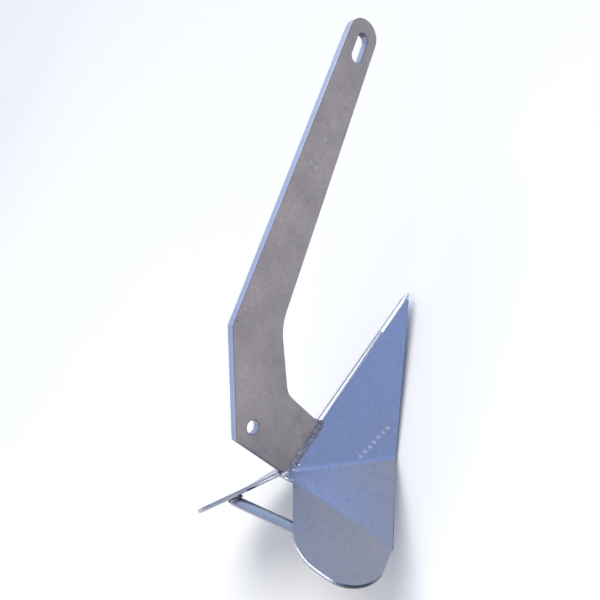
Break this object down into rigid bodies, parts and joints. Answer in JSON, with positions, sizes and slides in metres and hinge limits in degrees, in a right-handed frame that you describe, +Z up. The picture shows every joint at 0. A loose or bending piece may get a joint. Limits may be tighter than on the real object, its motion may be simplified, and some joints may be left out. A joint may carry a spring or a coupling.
{
  "type": "plough anchor",
  "caption": "Galvanised steel plough anchor with a fixed cranked shank, folded ridged fluke with rounded rear lobes, brace bar and ballasted toe.",
  "frame": {"origin": "on the ground under the middle of the whole length, in the plane of symmetry", "axes": "+X from the rear lobes to the shackle end, +Z up with the anchor standing on its toe and blade edges, +Y to the left"},
  "size_m": [0.7052, 0.3506, 0.2855],
  "materials": {
    "shank_zinc": "dull hot-dip zinc, fine spangle",
    "fluke_zinc": "satin hot-dip zinc, smooth along the ridge",
    "bar_zinc": "satin hot-dip zinc",
    "weld_zinc": "weld bead under hot-dip zinc, lumpy",
    "ballast": "poured metal, sealed inside the toe"
  },
  "bodies": {
    "root": {"shank": "shank_zinc", "fluke_plate": "fluke_zinc", "brace_bar": "bar_zinc", "toe_nose": "fluke_zinc", "toe_sole": "fluke_zinc", "toe_bulkhead": "fluke_zinc", "toe_ballast": "ballast", "shank_weld_left": "weld_zinc", "shank_weld_right": "weld_zinc", "shank_weld_front": "weld_zinc", "shank_weld_rear": "weld_zinc", "brace_weld_left": "weld_zinc", "brace_weld_right": "weld_zinc", "sole_weld_left": "weld_zinc", "sole_weld_right": "weld_zinc", "bulkhead_weld": "weld_zinc"}
  },
  "joints": []
}
